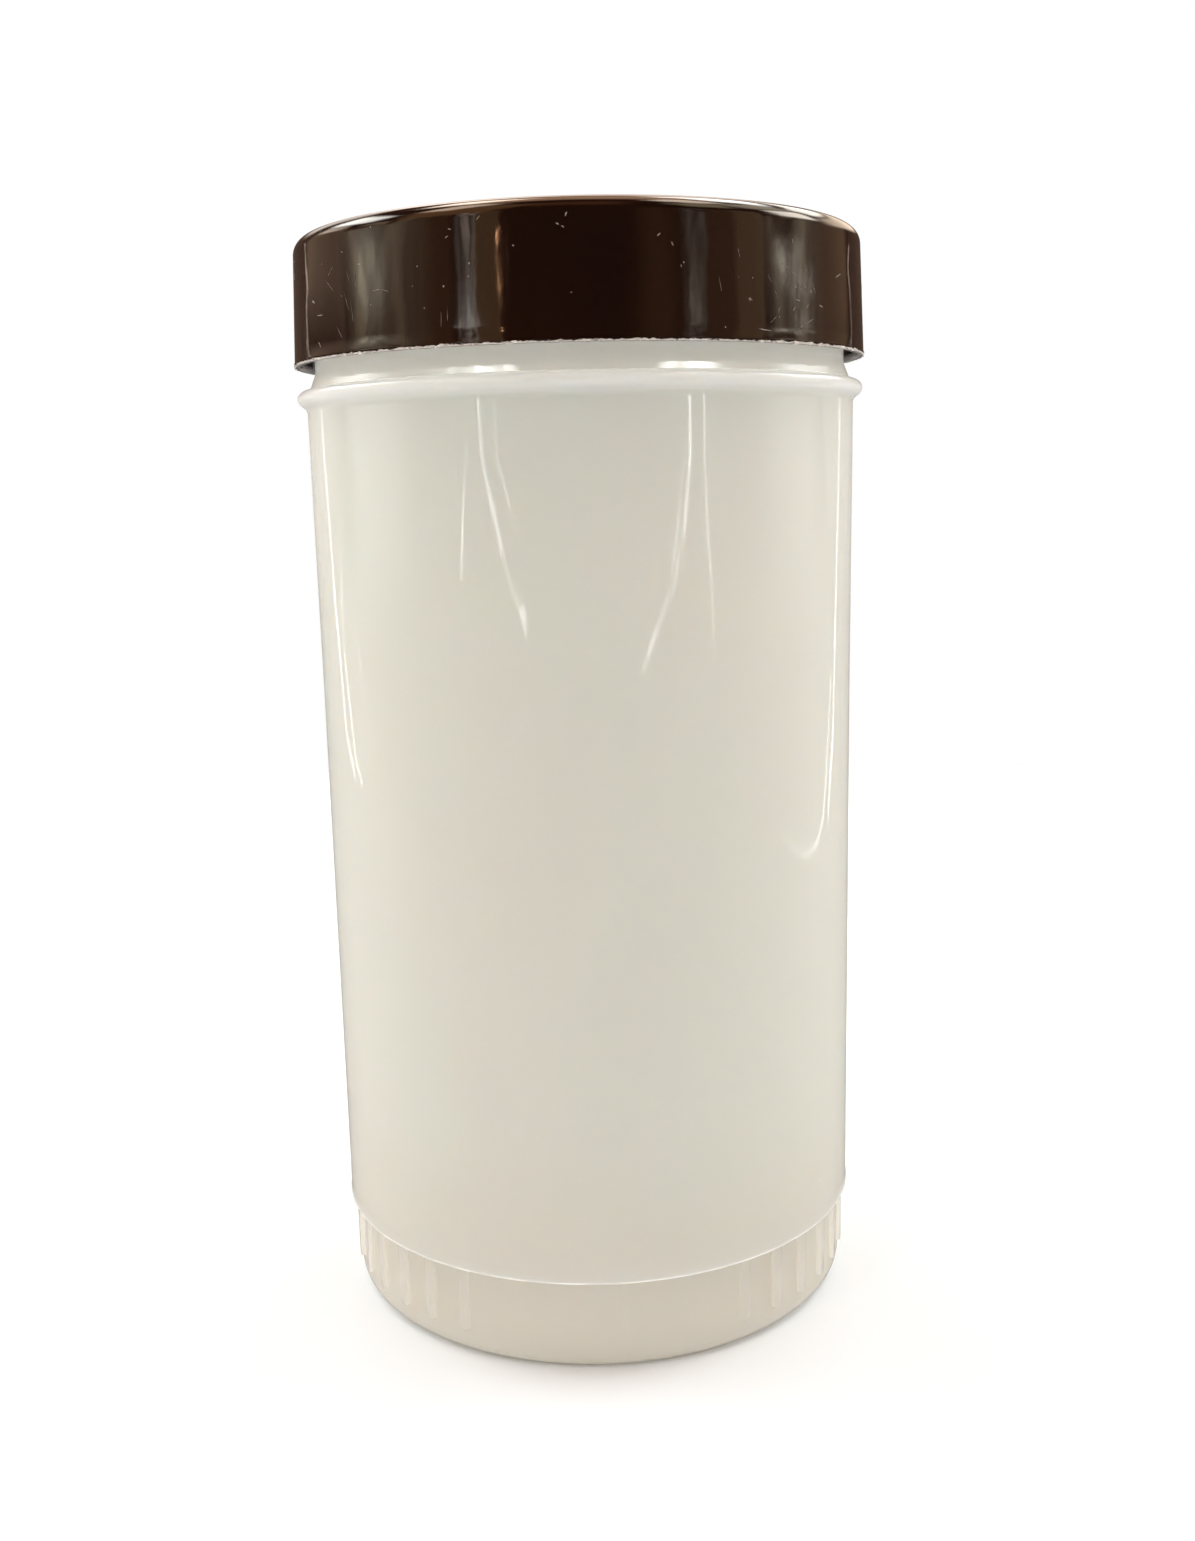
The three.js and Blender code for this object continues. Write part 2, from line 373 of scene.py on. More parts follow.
def make_lid():
    lid = turned("screw_lid", lid_profile())
    smooth(lid, 50)
    return lid


def model_grain(seed):
    """A ragged crumb of plastic, 1 mm across."""
    bpy.ops.object.select_all(action="DESELECT")
    bpy.ops.mesh.primitive_ico_sphere_add(subdivisions=1, radius=0.5 * MM)
    bpy.ops.object.mode_set(mode="EDIT")
    bpy.ops.mesh.select_all(action="SELECT")
    bpy.ops.transform.vertex_random(offset=0.12 * MM, seed=seed)
    bpy.ops.object.mode_set(mode="OBJECT")
    return bpy.context.object


def lay_grains(name, draw, rows):
    """Grains laid on the lid. Each row is turn, level, radius, length, width, height and slant."""
    shapes = [model_grain(seed) for seed in range(4)]
    copies = []
    for turn, level, radius, length, width, height, slant in rows:
        shape = draw.choice(shapes)
        grain = shape.copy()
        grain.data = shape.data.copy()
        bpy.context.scene.collection.objects.link(grain)
        outwards = direction(turn, 0)
        lean = math.radians(slant)
        along = Vector((0, 0, math.cos(lean))) + math.sin(lean) * direction(turn + 90, 0)
        place = (outwards * radius + Vector((0, 0, level))) * MM
        axes = Matrix((outwards.cross(along), outwards, along)).transposed().to_4x4()
        grain.matrix_world = Matrix.Translation(place) @ axes @ Matrix.Diagonal((width, height, length, 1))
        copies.append(grain)
    for shape in shapes:
        bpy.data.objects.remove(shape)
    bpy.ops.object.select_all(action="DESELECT")
    for grain in copies:
        grain.select_set(True)
    bpy.context.view_layer.objects.active = copies[0]
    bpy.ops.object.join()
    piece = bpy.context.object
    piece.name = name
    piece.data.name = name
    bpy.ops.object.transform_apply(location=True, rotation=True, scale=True)
    smooth(piece, 40)
    return piece


def make_burrs(draw):
    """The ragged pale edge of the lid's foot: a scatter all round, and thick clusters at the chips."""
    rows = []
    lip = LID_RADIUS + LID_LIP

    def burr(turn, length, thickness):
        level = LID_FOOT + draw.uniform(0.02, 0.3)
        rows.append((turn, level, lip - 0.06, length, thickness, thickness * draw.uniform(0.9, 1.6),
                     90 + draw.uniform(-9, 9)))

    turn = -180.0
    while turn < 180:
        burr(turn, draw.uniform(0.4, 2.2), draw.uniform(0.08, 0.18))
        turn += draw.uniform(0.4, 3.4)
    for start, end in LID_CHIPS:
        for i in range(round((end - start) * 1.5) + 3):
            burr(draw.uniform(start, end), draw.uniform(0.5, 1.5), draw.uniform(0.18, 0.36))
    return lay_grains("lid_burrs", draw, rows)


def make_scuffs(draw):
    """Short pale cuts and specks in the lid's wall."""
    rows = []
    specks = list(LID_DOTS)
    cuts = list(LID_SCUFFS)
    for i in range(BACK_DOTS):
        turn = draw.uniform(BACK_START, BACK_END)
        specks.append((turn, draw.uniform(156.5, 172), draw.uniform(0.18, 0.36)))
    for i in range(BACK_CUTS):
        turn = draw.uniform(BACK_START, BACK_END)
        cuts.append((turn, draw.uniform(157, 171.5), draw.uniform(0.5, 2), draw.uniform(-90, 90)))
    for turn, level, size in specks:
        rows.append((turn, level, lid_radius(level), size * 0.85, size * 0.6, 0.08, draw.uniform(-90, 90)))
    for turn, level, length, slant in cuts:
        rows.append((turn, level, lid_radius(level), length, draw.uniform(0.09, 0.14), 0.08, slant))
    return lay_grains("lid_scuffs", draw, rows)


def make_scratches(draw):
    """Long faint scratches in the lid's wall."""
    scratches = list(LID_SCRATCHES)
    for i in range(BACK_SCRATCHES):
        turn = draw.uniform(BACK_START, BACK_END)
        scratches.append((turn, draw.uniform(158, 170), draw.uniform(1.5, 5), draw.gauss(0, 35)))
    rows = []
    for turn, level, length, slant in scratches:
        rows.append((turn, level, lid_radius(level), length, draw.uniform(0.07, 0.11), 0.04, slant))
    return lay_grains("lid_scratches", draw, rows)


# Finishes

class Value:
    """A socket in a finish. Arithmetic on it adds Math nodes."""

    def __init__(self, finish, socket):
        self.finish = finish
        self.socket = socket

    def maths(self, operation, *terms):
        return self.finish.node("ShaderNodeMath", {"operation": operation}, dict(enumerate(terms)))

    def __add__(self, other):
        return self.maths("ADD", self, other)

    def __mul__(self, other):
        return self.maths("MULTIPLY", self, other)


class Finish:
    """A procedural material on the piece's own Object coordinates, in metres."""

    def __init__(self, name, **constants):
        self.material = bpy.data.materials.new(name)
        self.material.use_nodes = True
        self.tree = self.material.node_tree
        self.shader = self.tree.nodes["Principled BSDF"]
        for socket, value in constants.items():
            self.feed(self.shader.inputs[socket.replace("_", " ")], value)
        self.place = self.node("ShaderNodeTexCoord", output="Object")

    def node(self, kind, settings=None, inputs=None, output=0):
        made = self.tree.nodes.new(kind)
        for key, value in (settings or {}).items():
            setattr(made, key, value)
        for key, value in (inputs or {}).items():
            self.feed(made.inputs[key], value)
        return Value(self, made.outputs[output])

    def feed(self, socket, value):
        if isinstance(value, Value):
            self.tree.links.new(value.socket, socket)
        else:
            socket.default_value = value

    def stretched(self, scale, turn=(0, 0, 0)):
        """The place, turned and then scaled along each axis."""
        return self.node("ShaderNodeMapping", {"vector_type": "POINT"},
                         {"Vector": self.place, "Rotation": turn, "Scale": scale})

    def noise(self, vector, scale, detail=2.0, roughness=0.5):
        return self.node("ShaderNodeTexNoise", None,
                         {"Vector": vector, "Scale": scale, "Detail": detail, "Roughness": roughness})

    def between(self, value, low, high, to_low=0.0, to_high=1.0):
        """The value's range from low to high, eased to 0..1 or to another range."""
        return self.node("ShaderNodeMapRange", {"interpolation_type": "SMOOTHSTEP"},
                         {"Value": value, "From Min": low, "From Max": high,
                          "To Min": to_low, "To Max": to_high})

    def blend(self, amount, first, second):
        return self.node("ShaderNodeMix", {"data_type": "RGBA"}, {0: amount, 6: first, 7: second}, output=2)

    def relief(self, height, depth, below=None):
        inputs = {"Height": height, "Distance": depth}
        if below is not None:
            inputs["Normal"] = below
        return self.node("ShaderNodeBump", None, inputs)

    def surface(self, **inputs):
        for socket, value in inputs.items():
            self.feed(self.shader.inputs[socket.replace("_", " ")], value)
        return self.material


def ivory_shell():
    plastic = Finish(
        "ivory_shell", IOR=1.5, Emission_Strength=1.0,
        Subsurface_Weight=1.0, Subsurface_Radius=(1.0, 0.9, 0.8), Subsurface_Scale=0.02,
    )
    drift = plastic.noise(plastic.stretched((1, 1, 0.55)), 26, detail=2)
    cloud = plastic.noise(plastic.stretched((1, 1, 0.7)), 70, detail=3)
    drifting = plastic.between(drift, 0.35, 0.65)
    colour = plastic.blend(drifting, (0.808, 0.808, 0.740, 1), (0.788, 0.810, 0.738, 1))
    clouded = plastic.between(cloud, 0.3, 0.75, 0, 0.35)
    colour = plastic.blend(clouded, colour, (0.788, 0.773, 0.721, 1))
    height = plastic.node("ShaderNodeSeparateXYZ", None, {0: plastic.place}, output="Z")
    # The colour turns darker and browner towards the bottom
    browner_below = plastic.between(height, BROWNER_TOP, 0.0, 0, 0.6)
    colour = plastic.blend(browner_below, colour, (0.77, 0.715, 0.63, 1))
    smear = plastic.noise(plastic.stretched((1, 1, 0.25)), 120, detail=4, roughness=0.6)
    wave = plastic.noise(plastic.stretched((1, 1, 0.12)), 150, detail=1)
    ripple = plastic.noise(plastic.stretched((1, 1, 0.2)), 420, detail=2)
    bumps = plastic.relief(ripple, 0.000006, plastic.relief(wave, 0.00003))
    # Painted light: a glow stands in for light that the thin wall lets through from inside, where the lid
    # shades the neck, and at the foot
    glow = plastic.blend(plastic.between(height, *NECK_PAINTED_GLOW), (0, 0, 0, 1), (0.175, 0.168, 0.16, 1))
    glow = plastic.blend(plastic.between(height, FOOT_PAINTED_GLOW_TOP, 0.001), glow, (0.075, 0.06, 0.037, 1))
    # Painted highlight: a patchy glow along the seam line at the step's edge
    seam_foot, seam_top = SEAM_PAINTED_HIGHLIGHT
    seam = (plastic.between(height, seam_foot, seam_foot + SEAM_FADE)
            * plastic.between(height, seam_top, seam_top - 2 * SEAM_FADE))
    patchy = plastic.between(plastic.noise(plastic.place, 160, detail=2), 0.4, 0.6, 0.25, 1.0)
    glow = plastic.blend(seam * patchy, glow, (0.15, 0.15, 0.135, 1))
    return plastic.surface(
        Base_Color=colour,
        Emission_Color=glow,
        Roughness=plastic.between(smear, 0.3, 0.8, 0.04, 0.065),
        Normal=bumps,
    )


def brown_gloss():
    plastic = Finish("brown_gloss", IOR=1.5)
    cloud = plastic.noise(plastic.place, 45, detail=3)
    clouded = plastic.between(cloud, 0.3, 0.7)
    colour = plastic.blend(clouded, (0.016, 0.0060, 0.0038, 1), (0.012, 0.0045, 0.003, 1))
    height = plastic.node("ShaderNodeSeparateXYZ", None, {0: plastic.place}, output="Z")
    wear_line = plastic.noise(plastic.place, 650, detail=3, roughness=0.65)
    flat = plastic.node("ShaderNodeVectorMath", {"operation": "MULTIPLY"}, {0: plastic.place, 1: (1, 1, 0)})
    radius = plastic.node("ShaderNodeVectorMath", {"operation": "LENGTH"}, {0: flat}, output="Value")
    outside = plastic.between(radius, LIP_WEAR_RADIUS - 0.0002, LIP_WEAR_RADIUS)
    worn_height = height + wear_line * 0.0009
    worn = plastic.between(worn_height, LIP_WEAR_TOP, LIP_WEAR_TOP - LIP_WEAR_FADE) * outside
    colour = plastic.blend(worn * 0.9, colour, (0.72, 0.67, 0.62, 1))
    wave = plastic.noise(plastic.stretched((1, 1, 0.35)), 110, detail=1)
    crinkle = plastic.noise(plastic.stretched((1, 1, 0.5)), 420, detail=2)
    bumps = plastic.relief(crinkle, 0.000014, plastic.relief(wave, 0.0001))
    hairline = plastic.noise(plastic.stretched((1, 1, 0.06), (0, 0.3, 0)), 900, detail=2)
    return plastic.surface(
        Base_Color=colour,
        Roughness=plastic.between(cloud, 0.3, 0.7, 0.05, 0.09) + plastic.between(hairline, 0.6, 0.75, 0, 0.1)
        + worn * 0.4,
        Normal=bumps,
    )


def bruised_plastic(name, pale, dark):
    plastic = Finish(name, IOR=1.5)
    grain = plastic.noise(plastic.place, 1600, detail=2)
    return plastic.surface(
        Base_Color=plastic.blend(plastic.between(grain, 0.35, 0.65), dark, pale),
        Roughness=plastic.between(grain, 0.3, 0.7, 0.35, 0.6),
    )


# Stage

def make_camera():
    data = bpy.data.cameras.new("camera")
    data.sensor_width = SENSOR
    data.lens = FOCAL_PIXELS * SENSOR / PHOTO_LONG_SIDE
    data.clip_start = 0.01
    camera = bpy.data.objects.new("camera", data)
    bpy.context.scene.collection.objects.link(camera)
    aim = (Matrix.Rotation(-CAMERA_YAW, 4, "Z")
           @ Matrix.Rotation(math.pi / 2 - CAMERA_PITCH, 4, "X")
           @ Matrix.Rotation(CAMERA_ROLL, 4, "Z"))
    camera.matrix_world = Matrix.Translation(CAMERA_PLACE) @ aim
    bpy.context.scene.camera = camera


def direction(turn, rise):
    """A unit vector at turn degrees from straight in front towards +X, and rise degrees up."""
    turn, rise = math.radians(turn), math.radians(rise)
    return Vector((math.sin(turn) * math.cos(rise), -math.cos(turn) * math.cos(rise), math.sin(rise)))


def area_light(name, place, up, aim, width, height, radiance, colour, soft, streaks):
    """A rectangle of light that faces aim, with its height along up. Its edges fade over the share soft of
    its width and height, which is one share for both or a pair."""
    data = bpy.data.lights.new(name, "AREA")
    data.shape = "RECTANGLE"
    data.size = width
    data.size_y = height
    data.energy = radiance * math.pi * width * height
    data.color = colour
    shade_light(data, soft if isinstance(soft, tuple) else (soft, soft), streaks)
    light = bpy.data.objects.new(name, data)
    bpy.context.scene.collection.objects.link(light)
    y = up.normalized()
    z = place - aim
    z = (z - z.dot(y) * y).normalized()
    turn = Matrix((y.cross(z), y, z)).transposed().to_4x4()
    light.matrix_world = Matrix.Translation(place) @ turn
    light.visible_camera = False
    return light


def shade_light(data, soft, streaks):
    """Fades the light's edges, and breaks it up where streaks gives how many fit across and up."""
    data.use_nodes = True
    nodes, links = data.node_tree.nodes, data.node_tree.links
    across = nodes.new("ShaderNodeNewGeometry")
    strength = None

    def times(factor):
        nonlocal strength
        if strength is None:
            strength = factor
            return
        product = nodes.new("ShaderNodeMath")
        product.operation = "MULTIPLY"
        links.new(strength, product.inputs[0])
        links.new(factor, product.inputs[1])
        strength = product.outputs[0]

    parts = nodes.new("ShaderNodeSeparateXYZ")
    links.new(across.outputs["Parametric"], parts.inputs[0])
    for axis, share in enumerate(soft):
        if share:
            offset = nodes.new("ShaderNodeMath")
            offset.operation = "SUBTRACT"
            offset.inputs[1].default_value = 0.5
            links.new(parts.outputs[axis], offset.inputs[0])
            middle = nodes.new("ShaderNodeMath")
            middle.operation = "ABSOLUTE"
            links.new(offset.outputs[0], middle.inputs[0])
            fade = nodes.new("ShaderNodeMapRange")
            fade.interpolation_type = "SMOOTHSTEP"
            fade.inputs["From Min"].default_value = 0.5
            fade.inputs["From Max"].default_value = 0.5 - share
            links.new(middle.outputs[0], fade.inputs["Value"])
            times(fade.outputs[0])
    if streaks:
        spread = nodes.new("ShaderNodeMapping")
        spread.inputs["Scale"].default_value = (*streaks, 1)
        links.new(across.outputs["Parametric"], spread.inputs["Vector"])
        cloud = nodes.new("ShaderNodeTexNoise")
        cloud.inputs["Scale"].default_value = 1
        cloud.inputs["Detail"].default_value = 3
        cloud.inputs["Distortion"].default_value = 0.6
        links.new(spread.outputs[0], cloud.inputs["Vector"])
        fold = nodes.new("ShaderNodeMapRange")
        for end, noise, share in zip(("Min", "Max"), STREAK_NOISE, STREAK_STRENGTH):
            fold.inputs[f"From {end}"].default_value = noise
            fold.inputs[f"To {end}"].default_value = share
        links.new(cloud.outputs[0], fold.inputs["Value"])
        times(fold.outputs[0])
    links.new(strength, nodes["Emission"].inputs["Strength"])


def softbox(name, turn, rise, distance, width, height, radiance, colour, soft, streaks=None):
    """A lamp at turn degrees from straight in front towards +X, and rise degrees up."""
    aim = Vector((0, 0, LIGHT_AIM))
    outwards = direction(turn, rise)
    up = direction(turn, rise + 90)
    place = aim + distance * outwards
    return area_light(name, place, up, aim, width, height, radiance, colour, soft, streaks)


def screen(name, start, end, bottom, top, radiance, colour, soft, streaks=None):
    """An upright screen, with its ends in degrees of turn, and its bottom and top in metres."""
    middle = Vector((0, 0, (bottom + top) / 2))
    place = SCREEN_RADIUS * direction((start + end) / 2, 0) + middle
    up = Vector((0, 0, 1))
    width = SCREEN_RADIUS * math.radians(end - start)
    return area_light(name, place, up, middle, width, top - bottom, radiance, colour, soft, streaks)


def strip(name, width, colour, streaks, points):
    """A thin lamp along a bent line. Each point is x, y, z in millimetres and the radiance from there on."""
    for i, (start, end) in enumerate(zip(points, points[1:])):
        radiance = start[3]
        start, end = Vector(start[:3]) * MM, Vector(end[:3]) * MM
        middle = (start + end) / 2
        aim = Vector((0, 0, middle.z))
        along = end - start
        area_light(
            f"{name}_{i}", middle, along, aim, width * MM, along.length,
            radiance, colour, STRIP_SOFT, streaks,
        )


# Lamps for the jar and the floor, which the lid doesn't mirror: name, turn, rise, distance, width, height,
# radiance, colour, soft edge and streaks
BODY_BOXES = (
    ("overhead", 0, 84, 1.2, 0.9, 0.9, 2.5, (1, 0.65, 0.40), 0.3),
    ("left_high", -118, 38, 1.2, 1.1, 0.9, 4.15, (0.97, 1, 1), 0.3),
    ("left_higher", -106, 68, 1.2, 0.5, 0.28, 10.2, (1, 1, 0.97), 0.25),
    ("right_high", 119, 38, 1.2, 1.1, 0.9, 4.0, (0.97, 1, 1), 0.3),
    ("right_higher", 100, 66, 1.2, 0.55, 0.3, 9.7, (1, 1, 0.97), 0.25),
    ("left_back", -158, 48, 1.2, 0.5, 0.3, 7.6, (1, 1, 0.98), 0.3),
    ("right_back", 157, 50, 1.2, 0.5, 0.3, 7.6, (1, 1, 0.98), 0.3),
    ("back_warm", 180, 48, 1.2, 0.35, 0.8, 1.9, (1, 0.62, 0.40), 0.2),
    ("left_side", -74, 46, 1.2, 0.6, 0.5, 2.4, (0.96, 0.98, 1), 0.4),
    ("right_side", 70, 46, 1.2, 0.6, 0.5, 2.0, (0.96, 0.98, 1), 0.4),
    ("neck_left", -39.5, 42, 1.0, 0.34, 0.13, 13.0, (1, 1, 0.97), 0.25, (3, 1.5)),
    ("neck_left_end", -53, 42, 1.0, 0.5, 0.1, 7.0, (1, 1, 0.97), 0.3, (5, 2)),
    ("neck_right", 45, 42, 1.0, 0.7, 0.1, 10.5, (1, 1, 0.97), 0.25, (5, 1.5)),
)

# Lamps for the lid alone, mostly mirrored in its rounded top edge
LID_BOXES = (
    ("rim_left", -111, 40.5, 1.2, 0.85, 0.4, 10.5, (1, 0.97, 0.9), 0.3),
    ("rim_left_low", -117, 28, 1.2, 0.55, 0.3, 2.8, (1, 0.85, 0.68), 0.3),
    ("rim_left_far", -158, 34, 1.2, 0.75, 0.65, 1.7, (1, 0.87, 0.76), 0.3),
    ("rim_left_back", -138, 66, 1.2, 0.5, 0.38, 11.0, (1, 0.86, 0.72), 0.3),
    ("rim_left_side", -72, 60, 1.2, 0.4, 0.6, 7.0, (1, 0.77, 0.58), 0.3),
    ("rim_right", 100, 31, 1.2, 0.62, 0.5, 10.5, (1, 0.9, 0.77), 0.3),
    ("rim_right_mid", 98, 49, 1.2, 0.8, 0.4, 3.0, (1, 0.85, 0.65), 0.3),
    ("rim_right_low", 138, 39, 1.2, 0.8, 0.34, 7.0, (1, 0.92, 0.8), 0.3),
    ("rim_right_far", 138, 24, 1.2, 1.2, 0.4, 2.5, (1, 0.8, 0.62), 0.3),
    ("rim_right_back", 137, 58, 1.2, 0.65, 0.46, 11.0, (1, 0.97, 0.93), 0.3),
    ("rim_right_side", 79, 65, 1.2, 0.46, 0.46, 8.5, (1, 0.83, 0.66), 0.3),
    ("rim_right_front", 60, 47, 1.2, 0.5, 0.5, 2.4, (1, 0.8, 0.5), 0.3),
    ("rim_back", 180, 44, 1.2, 0.8, 0.8, 2.8, (1, 0.78, 0.64), 0.25),
    ("rim_overhead", 180, 79, 1.2, 1.4, 0.85, 3.0, (1, 0.6, 0.37), 0.3),
    ("rim_left_front", -55, 45, 1.2, 1.0, 1.05, 1.2, (1, 0.5, 0.22), 0.25),
    ("rim_front", 0, 58, 1.2, 0.8, 0.6, 0.5, (1, 0.4, 0.15), 0.3),
)

# Screens for the jar and the floor: name, start, end, bottom, top, radiance, colour, soft edge and streaks
BODY_SCREENS = (
    ("left_box", -114, -66, 0.0, 0.3, 1.2, (1, 1, 0.94), (0.35, 0.5)),
    ("right_box", 72, 118, 0.0, 0.3, 0.9, (1, 0.99, 0.91), (0.35, 0.5)),
    ("left_room", -196, -104, 0.03, 0.27, 0.58, (1, 0.94, 0.87), (0.2, 0.5)),
    ("right_room", 104, 196, 0.03, 0.27, 0.5, (1, 0.94, 0.87), (0.2, 0.5)),
)

# Screens that give the lid its bands of light
SCREENS = (
    ("lid_left_room", -136, -97, 0.24, 0.62, 0.52, (1, 0.7, 0.48), 0.2),
    ("lid_left_far", -190, -128, 0.15, 0.62, 0.09, (1, 0.7, 0.5), 0.12),
    ("lid_left_wide", -112, -50, 0.21, 0.64, 0.8, (1, 0.76, 0.5), (0.45, 0.2), (5, 2)),
    ("lid_left_window", -104, -70, 0.275, 0.42, 1.3, (1, 0.9, 0.7), 0.5),
    ("lid_left_glow", -97, -76, 0.28, 0.36, 2.6, (1, 0.92, 0.7), 0.5, (4, 1.5)),
    ("lid_left_wall", -64, -46, 0.21, 0.64, 0.26, (1, 0.52, 0.22), 0.2),
    ("lid_left_curtain", -46, -37.5, 0.21, 0.64, 1.1, (1, 0.84, 0.7), 0.15, (4, 4)),
    ("lid_left_fold_0", -44, -38, 0.26, 0.326, 1.5, (1, 0.96, 0.9), 0.25, (3, 5)),
    ("lid_left_fold_1", -47, -35, 0.26, 0.309, 1.3, (1, 0.96, 0.9), 0.25, (6, 5)),
    ("lid_left_fold_2", -49.5, -31, 0.26, 0.298, 1.7, (1, 0.96, 0.9), 0.25, (9, 4)),
    ("lid_left_brown", -39, -28.4, 0.24, 0.64, 0.62, (1, 0.6, 0.29), 0.12),
    ("lid_glint_high", -29.3, -28.4, 0.352, 0.366, 26, (1, 0.5, 0.25), 0.2),
    ("lid_glint_low", -29.3, -28.4, 0.324, 0.336, 18, (1, 0.5, 0.25), 0.2),
    ("lid_right_dim", 18, 43, 0.21, 0.64, 0.24, (1, 0.5, 0.2), (0.45, 0.1)),
    ("lid_right_curtain", 39, 50, 0.21, 0.64, 0.4, (1, 0.83, 0.68), 0.2, (4, 6)),
    ("lid_right_fold", 40, 50, 0.26, 0.35, 0.6, (1, 0.88, 0.7), 0.3, (5, 5)),
    ("lid_right_wall", 48, 63, 0.21, 0.64, 0.3, (1, 0.52, 0.25), 0.2),
    ("lid_right_brown", 60, 77, 0.21, 0.64, 0.66, (1, 0.64, 0.36), 0.2),
    ("lid_right_wide", 68, 112, 0.21, 0.64, 0.72, (1, 0.8, 0.56), (0.4, 0.2), (5, 2)),
    ("lid_right_glow", 75, 99, 0.302, 0.345, 3.0, (1, 0.93, 0.76), 0.5, (4, 1)),
    ("lid_right_crinkle", 82, 106, 0.285, 0.318, 1.0, (1, 0.95, 0.85), 0.4, (7, 3)),
    ("lid_right_low", 83, 104, 0.262, 0.29, 1.0, (1, 0.92, 0.8), 0.4, (6, 2)),
    ("lid_right_room", 102, 135, 0.2, 0.62, 0.32, (1, 0.66, 0.4), 0.2),
    ("lid_right_far", 130, 190, 0.15, 0.62, 0.07, (1, 0.7, 0.5), 0.12),
)

# Thin lamps: name, width, colour, streaks and points
STRIPS = (
    ("lid_left_line", 5, (1, 0.79, 0.64), None, (
        (-214, 181, 226, 1.9), (-222, 171, 210, 1.9), (-228, 163, 204, 1.9), (-223, 169, 198, 1.9),
        (-223, 170, 183, 0))),
    ("lid_right_line", 4, (1, 0.82, 0.68), None, (
        (215, 179, 212, 1.3), (221, 172, 206, 1.5), (219, 175, 201, 1.5), (218, 176, 195, 1.5),
        (217, 177, 181, 0))),
    ("left_edge", 5.5, (1, 1, 1), None, (
        (-241, 173, 161, 2.5), (-238, 178, 151, 3.6), (-246, 167, 119, 4.4), (-249, 162, 96, 4.4),
        (-258, 145, 57, 2.5), (-273, 116, 41, 0))),
    ("left_second", 4, (1, 1, 1), (1, 3), (
        (-271, 130, 125, 1.5), (-273, 126, 113, 3.8), (-268, 134, 96, 3.4), (-268, 133, 80, 5.5),
        (-270, 127, 70, 6.4), (-274, 118, 57, 5), (-278, 109, 46, 3.8), (-285, 88, 38, 0))),
    ("left_third", 3, (1, 1, 1), (1, 3), (
        (-292, 82, 93, 3), (-293, 76, 84, 6), (-295, 69, 76, 4), (-295, 65, 64, 2), (-297, 56, 54, 2),
        (-299, 46, 44, 0))),
    ("right_edge", 6, (1, 1, 1), None, (
        (234, 181, 162, 2.5), (239, 177, 128, 3.6), (242, 171, 96, 4.4), (247, 160, 53, 4.2),
        (255, 146, 36, 3.6), (259, 137, 23, 0))),
    ("right_hook", 4, (1, 1, 1), None, (
        (256, 150, 70, 2.8), (263, 137, 50, 3.6), (270, 116, 24, 2.3), (280, 92, 16, 1.9), (290, 62, 13, 1.5),
        (297, 30, 13, 1.3), (301, -9, 16, 1), (302, -41, 22, 0))),
    ("fore_left_inner", 5, (1, 1, 1), (2, 4), (
        (-199, -252, 162, 3), (-198, -253, 152, 6), (-197, -255, 144, 5.5), (-185, -263, 131, 9.5),
        (-174, -271, 122, 7), (-165, -277, 113, 2.6), (-150, -285, 103, 1.8), (-134, -293, 94, 0))),
    ("fore_left_scratch", 2.5, (1, 1, 1), (1, 3), (
        (-172, -273, 145, 5), (-159, -281, 135, 11), (-147, -287, 126, 0))),
    ("fore_left_spot", 9, (1, 1, 1), (2, 2), ((-131, -295, 95, 9), (-122, -298, 88, 0))),
    ("fore_left_outer", 3, (1, 1, 1), (1, 3), (
        (-218, -235, 143, 4), (-223, -230, 136, 8), (-229, -223, 124, 14), (-233, -218, 111, 9),
        (-235, -216, 104, 0))),
    ("fore_right_inner", 5.5, (1, 1, 1), (2, 4), (
        (210, -242, 161, 6.5), (211, -242, 148, 13), (209, -244, 137, 9), (198, -253, 117, 3),
        (180, -266, 101, 1.8), (155, -282, 91, 2.6), (140, -290, 84, 5.5), (126, -296, 78, 2.2),
        (116, -300, 74, 0))),
    ("fore_right_scratch", 3.5, (1, 1, 1), (1, 4), (
        (199, -252, 140, 3.4), (191, -259, 126, 6.5), (185, -263, 116, 5.5), (175, -270, 106, 0))),
    ("fore_right_outer", 4, (1, 1, 1), (1, 4), (
        (231, -222, 161, 6.5), (232, -221, 148, 7.5), (233, -219, 134, 8), (237, -215, 117, 8.5),
        (240, -210, 103, 4.6), (244, -204, 84, 2.3), (245, -200, 69, 0))),
)


def make_lights(lid):
    world = bpy.data.worlds.new("room")
    world.use_nodes = True
    background = world.node_tree.nodes["Background"]
    background.inputs["Color"].default_value = (1, 0.6, 0.45, 1)
    background.inputs["Strength"].default_value = 0.04
    bpy.context.scene.world = world
    lid_alone = bpy.data.collections.new("lid_alone")
    lid_alone.objects.link(lid)
    all_but_lid = bpy.data.collections.new("all_but_lid")
    all_but_lid.objects.link(lid)
    all_but_lid.collection_objects[0].light_linking.link_state = "EXCLUDE"
    for box in LID_BOXES:
        softbox(*box).light_linking.receiver_collection = lid_alone
    for box in BODY_BOXES:
        softbox(*box).light_linking.receiver_collection = all_but_lid
    for sheet in BODY_SCREENS:
        screen(*sheet).light_linking.receiver_collection = all_but_lid
    for sheet in SCREENS:
        screen(*sheet)
    for lamp in STRIPS:
        strip(*lamp)


def stage_finish(name, colour, glow):
    """A dull finish with a white glow."""
    return Finish(
        name, Base_Color=colour, Roughness=0.7, Specular_IOR_Level=0.0, Emission_Color=(1, 1, 1, 1),
        Emission_Strength=glow,
    )


